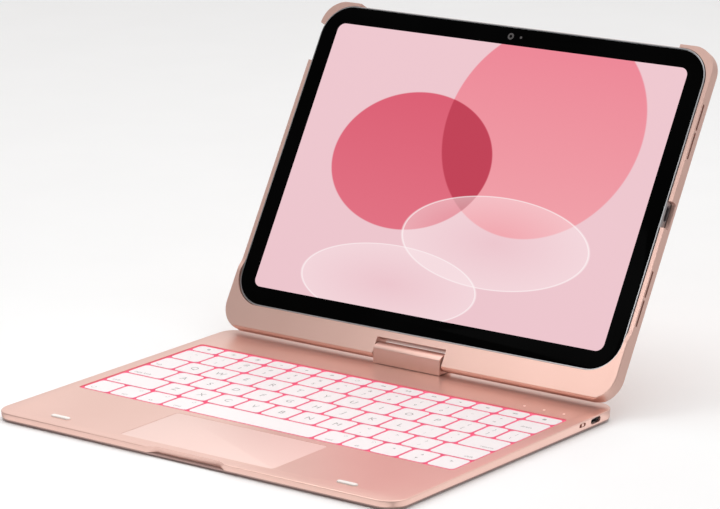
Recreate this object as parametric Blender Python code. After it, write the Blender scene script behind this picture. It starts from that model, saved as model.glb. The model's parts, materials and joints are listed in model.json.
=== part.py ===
"""A tablet keyboard case: a thin wedge keyboard base, a swivelling and tilting hinge block, a tray lid
and the tablet that the lid holds. Run it in Blender 4.5 to build one object for each piece.

All sizes are in millimetres and are turned into metres where a mesh is made. Three frames are used:
- the world, with Z up and the table at Z = 0;
- the deck, tilted a little because the base is a wedge: Z = 0 is the deck's top face;
- the lid, with X along the hinge, Y up the lid from the hinge axis and Z out of the tablet's glass.
"""

import bmesh
import bpy
from math import asin, cos, pi, radians, sin
from mathutils import Vector

MM = 0.001
GAP = 0.3  # between faces that touch in the real object

# Base: a wedge, thinner at the front. Y is 0 near the middle of the base.
BASE_HALF_X = 126.2
BASE_FRONT_Y = -100.0
BASE_REAR_Y = 97.0
BASE_CORNER = 11.0
FOOT_HEIGHT = 0.7
FRONT_THICKNESS = 4.0  # deck top to cover underside, at the front edge
REAR_THICKNESS = 5.8
DECK_TILT = asin((REAR_THICKNESS - FRONT_THICKNESS) / (BASE_REAR_Y - BASE_FRONT_Y))
SKIN = 0.6
WALL = 1.2
COVER_THICKNESS = 0.8
COVER_INSET = 0.6
COVER_BOTTOM = FOOT_HEIGHT + GAP
DECK_HEIGHT = COVER_BOTTOM + FRONT_THICKNESS - BASE_FRONT_Y * sin(DECK_TILT)

# Key well and keys
WELL_HALF_X = 118.7
WELL_FRONT_Y = -42.1
WELL_REAR_Y = 61.0
KEYS_HALF_X = 118.0
KEYS_FRONT_Y = -40.8
ROW_PITCH = 17.95
FUNCTION_ROW_DEPTH = 11.15
KEY_GAP = 1.5
KEY_TOP = -0.3
KEY_THICKNESS = 0.9
KEY_CORNER = 1.9
KEY_CHAMFER = 0.25
LETTER_PITCH = 17.5
WEB_WIDTH = 4.0
WEB_TOP = KEY_TOP - 0.4
WEB_BOTTOM = KEY_TOP - 0.7
SIDE_WEB_X = 110.0

# Layers under the keys, from the top down
SHEET_TOP = -2.3
SHEET_THICKNESS = 0.25
PLATE_TOP = SHEET_TOP - SHEET_THICKNESS - GAP
PLATE_THICKNESS = 0.4

# Right side wall: charging port and power slider, at their heights under the deck's top
PORT_Y = 75.4
PORT_Z = -2.35
SLOT_Y = 62.9
SLOT_Z = -2.0

# Small parts on the deck
BUMPER_X = 90.0
BUMPER_Y = -88.4
BUMPER_LENGTH = 12.0
BUMPER_WIDTH = 3.0
BUMPER_TOP = 0.75
LIGHT_X = 87.4
LIGHT_Y = 68.3
LIGHT_PITCH = 12.0
LIGHT_RADIUS = 0.45

# Trackpad
PAD_HALF_X = 47.5
PAD_FRONT_Y = -91.8
PAD_REAR_Y = -47.0
PAD_TOP = -0.05
PAD_THICKNESS = 1.2

# Hinge: the block turns about a vertical post, and the lid turns about the shaft in the block
SWIVEL_Y = 91.8
HINGE_HEIGHT = 6.45
BLOCK_HALF_Y = 5.3
BLOCK_HALF_X = 21.7
BLOCK_SHOULDER = 1.75  # how far the straight front rises above the axis
BLOCK_CROWN = 2.4  # height of the low round top above the shoulder
BLOCK_EDGE = 0.4
SHAFT_RADIUS = 1.4
SHAFT_HALF_X = 32.0
SLEEVE_RADIUS = 2.5
POST_RADIUS = 2.3
POST_TOP = 2.8
FLANGE_RADIUS = 3.6

# Lid, in its own frame: Y is the distance up from the hinge axis
LID_ANGLE = radians(59.315)  # the lid's face above the deck, measured from the rear
LID_HALF_X = 127.0
LID_TOP_Y = 191.7
LID_BOTTOM_RADIUS = 5.0
CHIN_FRONT_Z = 3.8
RAIL_FRONT_Z = 1.9  # the rim beside and above the glass is lower than the chin
RAMP_LOW_Y = 27.0  # the rim slopes from the chin's height here
RAMP_HIGH_Y = 36.0  # to the rail's height here
LID_BACK_Z = -5.56
LID_TOP_CORNER = 14.0
LID_BOTTOM_CORNER = 15.0
LID_FLOOR = 0.9
RAIL_CUT_Z = -2.8
NOTCH_HALF_X = 22.4
NOTCH_TOP_Y = 6.0

# Tablet, in a frame at the middle of its glass
TABLET_Y = 99.8  # the glass's centre in the lid frame
TABLET_Z = 2.64
TABLET_HALF_X = 124.3
TABLET_HALF_Y = 89.75
TABLET_THICKNESS = 6.2
TABLET_CORNER = 18.0
GLASS_INSET = 0.9
GLASS_THICKNESS = 0.7
RING_TOP = -0.1  # the shell's edge beside the glass, under the glass face
SCREEN_HALF_X = 113.53
SCREEN_HALF_Y = 78.9
SCREEN_CORNER = 4.5
LENS_X = -109.5
LENS_Y = 75.7

ROSE_GOLD = (0.80, 0.55, 0.49)
KEY_WHITE = (0.90, 0.88, 0.87)


# ---------------------------------------------------------------- outlines

def rounded_rect(x0, x1, y0, y1, radius, steps=6):
    """The outline of a rectangle with round corners, counter-clockwise."""
    corners = (
        (x1 - radius, y1 - radius, 0.0),
        (x0 + radius, y1 - radius, 0.5 * pi),
        (x0 + radius, y0 + radius, pi),
        (x1 - radius, y0 + radius, 1.5 * pi),
    )
    points = []
    for cx, cy, start in corners:
        for i in range(steps + 1):
            angle = start + 0.5 * pi * i / steps
            points.append((cx + radius * cos(angle), cy + radius * sin(angle)))
    return points


def circle(radius, steps=24, x=0.0, y=0.0):
    """A full circle, counter-clockwise."""
    turns = [2 * pi * i / steps for i in range(steps)]
    return [(x + radius * cos(a), y + radius * sin(a)) for a in turns]


def base_outline(inset, steps=8):
    """The base's plan, moved inwards by inset."""
    return rounded_rect(
        inset - BASE_HALF_X, BASE_HALF_X - inset,
        BASE_FRONT_Y + inset, BASE_REAR_Y - inset, BASE_CORNER - inset, steps,
    )


def lid_outline(inset, steps=8):
    """The lid's plan: large corners at the top, smaller ones beside the chin."""
    x = LID_HALF_X - inset
    top = LID_TOP_Y - inset
    bottom = inset - LID_BOTTOM_RADIUS - 0.2
    points = []
    for sx, cy, radius, start in (
        (1, top, LID_TOP_CORNER - inset, 0.0),
        (-1, top, LID_TOP_CORNER - inset, 0.5 * pi),
        (-1, bottom, LID_BOTTOM_CORNER - inset, pi),
        (1, bottom, LID_BOTTOM_CORNER - inset, 1.5 * pi),
    ):
        centre_y = cy - radius if cy == top else cy + radius
        for i in range(steps + 1):
            angle = start + 0.5 * pi * i / steps
            points.append((sx * (x - radius) + radius * cos(angle), centre_y + radius * sin(angle)))
    return points


def block_profile(inset, steps=12):
    """The hinge block's side view in Y and Z: straight faces with a low round top."""
    half = BLOCK_HALF_Y - inset
    shoulder = HINGE_HEIGHT + BLOCK_SHOULDER
    points = [(-half, GAP + inset), (half, GAP + inset)]
    for i in range(steps + 1):
        angle = pi * i / steps
        points.append((half * cos(angle), shoulder + (BLOCK_CROWN - inset) * sin(angle)))
    return points


# ---------------------------------------------------------------- solids

def add_loft(mesh, rings, along_x=False):
    """Add a closed solid through rings of (outline, height), low to high, to a bmesh."""
    loops = []
    for outline, height in rings:
        loop = []
        for a, b in outline:
            point = (height, a, b) if along_x else (a, b, height)
            loop.append(mesh.verts.new(Vector(point) * MM))
        loops.append(loop)
    count = len(loops[0])
    for low, high in zip(loops, loops[1:]):
        for i in range(count):
            j = (i + 1) % count
            mesh.faces.new((low[i], low[j], high[j], high[i]))
    mesh.faces.new(list(reversed(loops[0])))
    mesh.faces.new(loops[-1])


def add_tube(mesh, outer, inner, low, high, along_x=False):
    """Add a closed ring-shaped solid between two circles of equal step count to a bmesh."""
    count = len(outer)
    rings = []
    for outline, height in ((outer, low), (outer, high), (inner, high), (inner, low)):
        ring = []
        for a, b in outline:
            point = (height, a, b) if along_x else (a, b, height)
            ring.append(mesh.verts.new(Vector(point) * MM))
        rings.append(ring)
    for first, second in zip(rings, rings[1:] + rings[:1]):
        for i in range(count):
            j = (i + 1) % count
            mesh.faces.new((first[i], first[j], second[j], second[i]))


def new_object(name, mesh, parent=None, place=(0, 0, 0)):
    """Turn a bmesh into a smooth-shaded object at a place in its parent's frame."""
    data = bpy.data.meshes.new(name)
    mesh.to_mesh(data)
    mesh.free()
    data.shade_smooth()
    data.set_sharp_from_angle(angle=radians(30))
    obj = bpy.data.objects.new(name, data)
    bpy.context.scene.collection.objects.link(obj)
    obj.parent = parent
    obj.location = Vector(place) * MM
    return obj


def loft(name, rings, parent=None, place=(0, 0, 0), along_x=False):
    """One object made of a single lofted solid."""
    mesh = bmesh.new()
    add_loft(mesh, rings, along_x)
    return new_object(name, mesh, parent, place)


def slab(name, outline, low, high, parent=None, place=(0, 0, 0), along_x=False):
    """One object with the same outline from low to high."""
    return loft(name, ((outline, low), (outline, high)), parent, place, along_x)


def box(name, low, high, parent=None, place=(0, 0, 0)):
    """One box between two corners."""
    outline = ((low[0], low[1]), (high[0], low[1]), (high[0], high[1]), (low[0], high[1]))
    return slab(name, outline, low[2], high[2], parent, place)


def empty(name, parent, place=(0, 0, 0), tilt=0.0):
    """A frame for other pieces, turned about X."""
    obj = bpy.data.objects.new(name, None)
    bpy.context.scene.collection.objects.link(obj)
    obj.parent = parent
    obj.location = Vector(place) * MM
    obj.rotation_euler = (tilt, 0, 0)
    return obj


def combine(node, tools, operation="DIFFERENCE"):
    """Cut helper solids out of a node, or join them to it."""
    for tool in tools:
        tool.hide_render = True
        tool.display_type = "WIRE"
        modifier = node.modifiers.new(tool.name, "BOOLEAN")
        modifier.operation = operation
        modifier.object = tool


def paint(node, colour, roughness, metallic=0.0, name=None):
    """Give a node its material, shared only when a name is given."""
    name = name or node.name
    material = bpy.data.materials.get(name)
    if material is None:
        material = bpy.data.materials.new(name)
        material.use_nodes = True
        shader = material.node_tree.nodes["Principled BSDF"]
        shader.inputs["Base Color"].default_value = (*colour, 1.0)
        shader.inputs["Roughness"].default_value = roughness
        shader.inputs["Metallic"].default_value = metallic
        material.diffuse_color = (*colour, 1.0)
    node.data.materials.append(material)


# ---------------------------------------------------------------- base

def deck_cutters(deck, world):
    """Everything that opens the deck shell: cavity, well, trackpad, holes, ports and thumb notch."""
    cavity = slab("cut_cavity", base_outline(WALL), -12.0, -SKIN, deck)
    below = box("cut_below", (-140, -120, -20), (140, 120, COVER_BOTTOM + COVER_THICKNESS + GAP), world)
    well = slab(
        "cut_well", rounded_rect(-WELL_HALF_X, WELL_HALF_X, WELL_FRONT_Y, WELL_REAR_Y, 2.2), -1.5, 1.0, deck
    )
    pad_x = PAD_HALF_X + GAP
    pad = slab(
        "cut_trackpad",
        rounded_rect(-pad_x, pad_x, PAD_FRONT_Y - GAP, PAD_REAR_Y + GAP, 1.5 + GAP), -1.5, 1.0, deck,
    )
    tools = [cavity, below, well, pad]
    for side, (x, y) in bumper_places():
        half_x = BUMPER_LENGTH / 2 + GAP
        half_y = BUMPER_WIDTH / 2 + GAP
        outline = rounded_rect(x - half_x, x + half_x, y - half_y, y + half_y, half_y)
        tools.append(slab(f"cut_bumper_{side}", outline, -1.5, 1.0, deck))
    for number, (x, y) in enumerate(light_places(), 1):
        tools.append(slab(f"cut_light_{number}", circle(LIGHT_RADIUS + GAP, 12, x, y), -1.5, 1.0, deck))
    tools.append(slab("cut_swivel", circle(POST_RADIUS + GAP, 24, 0, SWIVEL_Y), -1.5, 1.0, deck))
    port = rounded_rect(PORT_Y - 4.5, PORT_Y + 4.5, PORT_Z - 1.35, PORT_Z + 1.35, 1.3)
    tools.append(slab("cut_port", port, BASE_HALF_X - 2.5, BASE_HALF_X + 2, deck, along_x=True))
    slot = rounded_rect(SLOT_Y - 2.9, SLOT_Y + 2.9, SLOT_Z - 1.0, SLOT_Z + 1.0, 0.95)
    tools.append(slab("cut_slot", slot, BASE_HALF_X - 2.5, BASE_HALF_X + 2, deck, along_x=True))
    front = BASE_FRONT_Y
    notch = (
        (-28, front - 3), (28, front - 3), (25, front),
        (19.5, front + 2.8), (-19.5, front + 2.8), (-25, front),
    )
    tools.append(slab("cut_thumb_notch", notch, -12.0, 2.0, deck))
    return tools


def bumper_places():
    """The two rubber strips that the closed lid rests on."""
    return (("left", (-BUMPER_X, BUMPER_Y)), ("right", (BUMPER_X, BUMPER_Y)))


def light_places():
    """The three status lights at the rear right of the deck."""
    return [(LIGHT_X + LIGHT_PITCH * i, LIGHT_Y) for i in range(3)]


def build_deck_shell(deck, world):
    """Top face and side walls in one thin piece, with a fine chamfer round the top."""
    rings = ((base_outline(1.0), -9.0), (base_outline(0.0), -0.5), (base_outline(0.5), 0.0))
    shell = loft("deck_shell", rings, deck)
    inner = deck_cutters(deck, world)
    # behind the thumb notch the wall steps inwards, so the cavity stops short of it
    lip = box("join_notch_wall", (-29, BASE_FRONT_Y + 1, -9.0), (29, BASE_FRONT_Y + 4.2, -SKIN / 2), deck)
    combine(shell, inner[:1])
    combine(shell, [lip], "UNION")
    combine(shell, inner[1:])
    paint(shell, ROSE_GOLD, 0.35, 0.7)


def build_cover(world):
    """The flat bottom cover."""
    outline = rounded_rect(
        COVER_INSET - BASE_HALF_X, BASE_HALF_X - COVER_INSET,
        BASE_FRONT_Y + COVER_INSET, BASE_REAR_Y - COVER_INSET, BASE_CORNER - COVER_INSET, 8,
    )
    cover = slab("bottom_cover", outline, COVER_BOTTOM, COVER_BOTTOM + COVER_THICKNESS, world)
    paint(cover, (0.36, 0.28, 0.26), 0.5, 0.4)


def build_feet(world):
    """Four long rubber feet under the cover."""
    for name, x, y in (
        ("foot_front_left", -92.0, -88.0),
        ("foot_front_right", 92.0, -88.0),
        ("foot_rear_left", -92.0, 88.0),
        ("foot_rear_right", 92.0, 88.0),
    ):
        outline = rounded_rect(-20, 20, -3.5, 3.5, 3.4, 3)
        paint(slab(name, outline, 0.0, FOOT_HEIGHT, world, (x, y, 0)), (0.10, 0.09, 0.09), 0.8)


def build_layers(deck):
    """The light sheet that glows between the keys, and the steel plate that the keys press on."""
    outline = rounded_rect(-121.5, 121.5, -44.0, 62.6, 2.0, 3)
    sheet = slab("backlight_sheet", outline, SHEET_TOP - SHEET_THICKNESS, SHEET_TOP, deck)
    paint(sheet, (0.90, 0.30, 0.42), 0.4)
    plate = slab("key_plate", outline, PLATE_TOP - PLATE_THICKNESS, PLATE_TOP, deck)
    paint(plate, (0.55, 0.55, 0.57), 0.4, 0.9)


def build_electronics(deck):
    """Circuit board, two battery packs, the charging port, the light pipe and the trackpad's switch."""
    board_outline = (
        (30, 64), (121.5, 64), (121.5, 69.8), (116.0, 69.8),
        (116.0, 81.0), (121.5, 81.0), (121.5, 86), (30, 86),
    )
    paint(slab("circuit_board", board_outline, -3.5, -2.9, deck), (0.05, 0.22, 0.12), 0.5)
    for side, x in (("left", -86.0), ("right", 86.0)):
        outline = rounded_rect(-33, 33, -19.5, 19.5, 2.0, 3)
        pack = slab(f"battery_{side}", outline, -2.7, -1.0, deck, (x, -68.5, 0))
        paint(pack, (0.14, 0.14, 0.15), 0.5)
    build_port(deck)
    build_light_pipe(deck)
    switch = slab("trackpad_switch", circle(3.5, 16), -2.7, -1.8, deck, (0, -85.0, 0))
    paint(switch, (0.75, 0.74, 0.70), 0.4, 0.8)


def build_port(deck):
    """The charging socket: an open metal shell with a contact tongue standing on its back wall."""
    inner_x = BASE_HALF_X - WALL - GAP
    shell_outline = rounded_rect(PORT_Y - 4.4, PORT_Y + 4.4, PORT_Z - 1.45, PORT_Z + 1.45, 1.35, 4)
    hollow_outline = rounded_rect(PORT_Y - 4.17, PORT_Y + 4.17, PORT_Z - 1.25, PORT_Z + 1.25, 1.2, 4)
    shell = slab("charge_port", shell_outline, inner_x - 7.0, inner_x, deck, along_x=True)
    hollow = slab("cut_port_hollow", hollow_outline, inner_x - 6.4, inner_x + 1, deck, along_x=True)
    tongue = box(
        "join_port_tongue", (inner_x - 6.8, PORT_Y - 3.3, PORT_Z - 0.35),
        (inner_x - 1.2, PORT_Y + 3.3, PORT_Z + 0.35), deck,
    )
    combine(shell, [hollow])
    combine(shell, [tongue], "UNION")
    paint(shell, (0.45, 0.43, 0.42), 0.35, 0.9)


def build_light_pipe(deck):
    """A clear bar with a short post up to each status light."""
    places = light_places()
    middle = places[1]
    bar = box("light_pipe", (-13.0, -1.2, -1.7), (13.0, 1.2, -1.0), deck, (*middle, 0))
    posts = [
        slab(f"join_light_post_{number}", circle(LIGHT_RADIUS, 12, x, y), -1.4, -0.05, deck)
        for number, (x, y) in enumerate(places, 1)
    ]
    combine(bar, posts, "UNION")
    paint(bar, (0.98, 0.86, 0.80), 0.2)


def build_bumpers(deck):
    """Two soft strips pushed through the deck near the front corners."""
    for side, (x, y) in bumper_places():
        half_x = BUMPER_LENGTH / 2
        half_y = BUMPER_WIDTH / 2
        outline = rounded_rect(-half_x, half_x, -half_y, half_y, half_y - 0.05, 4)
        crown = rounded_rect(0.4 - half_x, half_x - 0.4, 0.4 - half_y, half_y - 0.4, half_y - 0.45, 4)
        rings = ((outline, -1.0), (outline, BUMPER_TOP - 0.35), (crown, BUMPER_TOP))
        strip = loft(f"bumper_{side}", rings, deck, (x, y, 0))
        paint(strip, (0.93, 0.88, 0.84), 0.6)


def build_power_slider(deck):
    """A small knob in the side slot, with a wider tail behind the wall."""
    place = (BASE_HALF_X, SLOT_Y + 0.3, SLOT_Z)
    knob = box("power_slider", (-2.2, -1.0, -0.7), (-0.15, 1.0, 0.7), deck, place)
    tail = box("join_slider_tail", (-2.9, -4.2, -1.0), (-WALL - GAP - 0.1, 4.2, 1.0), deck, place)
    combine(knob, [tail], "UNION")
    paint(knob, (0.95, 0.80, 0.76), 0.4)


def build_trackpad(deck):
    """The pad turns down about its rear edge when it is clicked."""
    place = (0, PAD_REAR_Y, PAD_TOP - PAD_THICKNESS / 2)
    outline = rounded_rect(-PAD_HALF_X, PAD_HALF_X, PAD_FRONT_Y - PAD_REAR_Y, 0, 1.5, 3)
    pad = slab("trackpad_plate", outline, -PAD_THICKNESS / 2, PAD_THICKNESS / 2, deck, place)
    paint(pad, (0.84, 0.62, 0.56), 0.3, 0.4)


# ---------------------------------------------------------------- keys

def key_rows():
    """Every row from the front: (key names, key widths, front y, rear y)."""
    letters = LETTER_PITCH
    wide = 2 * KEYS_HALF_X
    third = ["tab", *"qwertyuiop", "bracket_left", "bracket_right", "backslash"]
    second = ["caps", *"asdfghjkl", "semicolon", "quote", "enter"]
    first = ["shift_left", *"zxcvbnm", "comma", "period", "slash", "shift_right"]
    front = ["globe", "control", "option_left", "command_left", "space"]
    front += ["command_right", "option_right", "page_left", "page_middle", "page_right"]
    number = ["grave", *(f"number_{i}" for i in range(1, 13)), "backspace"]
    function = ["home", *(f"function_{i}" for i in range(1, 13)), "lock"]
    widths = (
        [17.6] * 4 + [79.5] + [(wide - 4 * 17.6 - 79.5) / 5] * 5,
        [32.9] + [letters] * 10 + [wide - 32.9 - 10 * letters],
        [24.2] + [letters] * 10 + [12.8, wide - 24.2 - 10 * letters - 12.8],
        [16.9] + [letters] * 11 + [13.2, wide - 16.9 - 11 * letters - 13.2],
        [19.9] + [16.33] * 12 + [wide - 19.9 - 12 * 16.33],
        [17.9] + [16.55] * 12 + [wide - 17.9 - 12 * 16.55],
    )
    rows = []
    for i, names in enumerate((front, first, second, third, number, function)):
        low = KEYS_FRONT_Y + ROW_PITCH * i
        high = low + (FUNCTION_ROW_DEPTH if names is function else ROW_PITCH)
        rows.append((names, widths[i], low, high))
    return rows


def key_cells():
    """Every key's name, row number and the rectangle that its cap fills."""
    cells = []
    for row, (names, widths, low, high) in enumerate(key_rows()):
        x = -KEYS_HALF_X
        for name, width in zip(names, widths, strict=True):
            edge = KEY_GAP / 2
            cells.append((name, row, (x + edge, x + width - edge, low + edge, high - edge)))
            x += width
    return cells


def key_bank(name, row, rect):
    """The bank of joined caps that a key belongs to, or None for a key of its own."""
    if row == 5:
        return "function_keys"
    if row == 4:
        return "number_keys"
    if len(name) == 1 or name == "space":
        return None
    return "left_keys" if rect[0] < 0 else "right_keys"


def add_cap(mesh, rect, place=(0.0, 0.0)):
    """Add one key cap with round corners and a fine chamfer to a bmesh."""
    x0, x1, y0, y1 = rect[0] - place[0], rect[1] - place[0], rect[2] - place[1], rect[3] - place[1]
    full = rounded_rect(x0, x1, y0, y1, KEY_CORNER, 2)
    c = KEY_CHAMFER
    top = rounded_rect(x0 + c, x1 - c, y0 + c, y1 - c, KEY_CORNER - c, 2)
    add_loft(mesh, ((full, KEY_TOP - KEY_THICKNESS), (full, KEY_TOP - c), (top, KEY_TOP)))


def web(name, x0, x1, y0, y1, deck):
    """A flat bar inside the caps of a bank that joins them."""
    return box(name, (x0, y0, WEB_BOTTOM), (x1, y1, WEB_TOP), deck)


def bank_webs(bank, members, deck):
    """One bar along each row of a bank, and one across its rows."""
    half = WEB_WIDTH / 2
    rows = {}
    for _, row, rect in members:
        rows.setdefault(row, []).append(rect)
    webs = []
    middles = []
    for row, rects in rows.items():
        y = (rects[0][2] + rects[0][3]) / 2
        middles.append(y)
        if len(rects) > 1:
            left = rects[0][0] + 4
            right = rects[-1][1] - 4
            webs.append(web(f"join_{bank}_{row}", left, right, y - half, y + half, deck))
    if len(rows) > 1:
        x = SIDE_WEB_X if members[0][2][0] > 0 else -SIDE_WEB_X
        webs.append(web(f"join_{bank}_side", x - half, x + half, min(middles) - 1, max(middles) + 1, deck))
    return webs


def build_keys(deck):
    """Letters and the space bar move one by one, and the other caps move in four joined banks."""
    banks = {}
    for cell in key_cells():
        name, row, rect = cell
        bank = key_bank(*cell)
        if bank:
            banks.setdefault(bank, []).append(cell)
            continue
        centre = ((rect[0] + rect[1]) / 2, (rect[2] + rect[3]) / 2)
        mesh = bmesh.new()
        add_cap(mesh, rect, centre)
        paint(new_object(f"key_{name}", mesh, deck, (*centre, 0)), KEY_WHITE, 0.5, name="keycap")
    for bank, members in banks.items():
        mesh = bmesh.new()
        for _, _, rect in members:
            add_cap(mesh, rect)
        caps = new_object(bank, mesh, deck)
        combine(caps, bank_webs(bank, members, deck), "UNION")
        paint(caps, KEY_WHITE, 0.5, name="keycap")


# ---------------------------------------------------------------- hinge

def build_hinge(deck, swivel):
    """The block with its barrel, the post it turns on, and the sleeve that grips the lid's shaft."""
    half = BLOCK_HALF_X
    rings = (
        (block_profile(BLOCK_EDGE), -half),
        (block_profile(0), BLOCK_EDGE - half),
        (block_profile(0), half - BLOCK_EDGE),
        (block_profile(BLOCK_EDGE), half),
    )
    block = loft("hinge_block", rings, swivel, along_x=True)
    opening = circle(SLEEVE_RADIUS + GAP, 24, 0, HINGE_HEIGHT)
    bore = slab("cut_barrel", opening, -half - 2, half + 2, swivel, along_x=True)
    socket = slab("cut_post_socket", circle(POST_RADIUS + GAP), -2.0, POST_TOP + GAP, swivel)
    combine(block, [bore, socket])
    paint(block, (0.62, 0.42, 0.38), 0.35, 0.7)
    rings = (
        (circle(FLANGE_RADIUS), -3.7),
        (circle(FLANGE_RADIUS), -2.7),
        (circle(POST_RADIUS), -2.7),
        (circle(POST_RADIUS), POST_TOP),
    )
    paint(loft("swivel_post", rings, swivel), (0.55, 0.55, 0.56), 0.3, 0.9)
    mesh = bmesh.new()
    add_tube(mesh, circle(FLANGE_RADIUS), circle(POST_RADIUS + GAP), -2.4, -SKIN - GAP)
    paint(new_object("swivel_bushing", mesh, deck, (0, SWIVEL_Y, 0)), (0.80, 0.66, 0.36), 0.35, 0.9)
    mesh = bmesh.new()
    outer = circle(SLEEVE_RADIUS, 24, 0, HINGE_HEIGHT)
    inner = circle(SHAFT_RADIUS + GAP, 24, 0, HINGE_HEIGHT)
    add_tube(mesh, outer, inner, 1.0 - half, half - 1.0, along_x=True)
    paint(new_object("friction_sleeve", mesh, swivel), (0.30, 0.30, 0.31), 0.4, 0.8)


# ---------------------------------------------------------------- lid

def chin_cutter(lid, steps=16):
    """What lies outside the round underside of the chin, whose centre is the hinge axis."""
    outline = [(0, -12), (0, LID_BACK_Z)]
    for i in range(1, steps):
        angle = 1.5 * pi - pi * i / steps
        depth = LID_BOTTOM_RADIUS if angle < pi else -LID_BACK_Z
        outline.append((LID_BOTTOM_RADIUS * cos(angle), depth * sin(angle)))
    outline += [(0, LID_BOTTOM_RADIUS), (0, 12), (-16, 12), (-16, -12)]
    return slab("cut_chin", outline, -140, 140, lid, along_x=True)


def rail_cutters(lid):
    """What lowers the lid's rim, and its openings: button gap, top gap, port gap and speaker slits."""
    top = LID_TOP_Y + 5
    above = (
        (RAMP_HIGH_Y, RAIL_FRONT_Z), (top, RAIL_FRONT_Z), (top, 12.0),
        (RAMP_LOW_Y, 12.0), (RAMP_LOW_Y, CHIN_FRONT_Z),
    )
    tools = [
        slab("cut_rail_height", above, -140, 140, lid, along_x=True),
        box("cut_button_gap", (-130, 155.0, RAIL_CUT_Z - 1.0), (-120, 177.8, 8), lid),
        box("cut_top_gap", (-103.7, 184.0, RAIL_CUT_Z - 1.0), (103.6, top, 8), lid),
    ]
    gap = rounded_rect(91.6, 106.2, RAIL_CUT_Z, 12.0, 1.8, 3)
    tools.append(slab("cut_port_gap", gap, 120, 130, lid, along_x=True))
    for side in (-1, 1):
        for number, v in enumerate((-62.1, -46.1, 30.6, 46.6), 1):
            low, high = sorted((side * 123.0, side * 130.0))
            outline = rounded_rect(TABLET_Y + v, TABLET_Y + v + 14.2, -0.4, 0.6, 0.48, 3)
            label = "left" if side < 0 else "right"
            tools.append(slab(f"cut_slit_{label}_{number}", outline, low, high, lid, along_x=True))
    return tools


def camera_window(lid, grow):
    """The window behind the tablet's rear camera."""
    half = 9.5 + grow
    y = TABLET_Y + LENS_Y
    outline = rounded_rect(LENS_X - half, LENS_X + half, y - half, y + half, 4.0, 4)
    return slab(f"cut_camera_window_{grow:.0f}", outline, -9, -3.0, lid)


def build_tray(lid):
    """The lid in one piece: thin back, rim all round, and a solid chin with a notch for the block."""
    rings = (
        (lid_outline(1.3), LID_BACK_Z),
        (lid_outline(0.4), LID_BACK_Z + 0.4),
        (lid_outline(0.0), LID_BACK_Z + 1.3),
        (lid_outline(0.0), CHIN_FRONT_Z - 0.5),
        (lid_outline(0.4), CHIN_FRONT_Z),
    )
    tray = loft("lid_tray", rings, lid)
    x = TABLET_HALF_X + 0.35
    y = TABLET_HALF_Y + 0.35
    outline = rounded_rect(-x, x, TABLET_Y - y, TABLET_Y + y, TABLET_CORNER + 0.35, 8)
    pocket = slab("cut_pocket", outline, LID_BACK_Z + LID_FLOOR, 10, lid)
    notch = box("cut_notch", (-NOTCH_HALF_X, -12, -9), (NOTCH_HALF_X, NOTCH_TOP_Y, 9), lid)
    bores = []
    for side, sign in (("left", -1), ("right", 1)):
        low, high = sorted((sign * 21.0, sign * (SHAFT_HALF_X + GAP)))
        bores.append(slab(f"cut_bore_{side}", circle(SHAFT_RADIUS + GAP, 16), low, high, lid, along_x=True))
    combine(tray, [pocket, chin_cutter(lid), notch, *bores, *rail_cutters(lid), camera_window(lid, 0.0)])
    paint(tray, ROSE_GOLD, 0.35, 0.5)


def build_lining(lid):
    """A thin soft sheet between the tray's floor and the tablet."""
    low = LID_BACK_Z + LID_FLOOR + GAP
    outline = rounded_rect(-122.5, 122.5, TABLET_Y - 88.0, TABLET_Y + 88.0, 17.0, 4)
    lining = slab("lid_lining", outline, low, low + 0.5, lid)
    combine(lining, [camera_window(lid, 1.0)])
    paint(lining, (0.30, 0.27, 0.28), 0.9)


def build_shaft(lid):
    """The steel shaft through the block, held at both ends in the chin."""
    rings = ((circle(SHAFT_RADIUS, 16), -SHAFT_HALF_X), (circle(SHAFT_RADIUS, 16), SHAFT_HALF_X))
    paint(loft("tilt_shaft", rings, lid, along_x=True), (0.60, 0.60, 0.61), 0.3, 0.9)


# ---------------------------------------------------------------- tablet

def tablet_outline(inset, steps=8):
    """The tablet's plan, moved inwards by inset."""
    x = TABLET_HALF_X - inset
    y = TABLET_HALF_Y - inset
    return rounded_rect(-x, x, -y, y, TABLET_CORNER - inset, steps)


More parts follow.
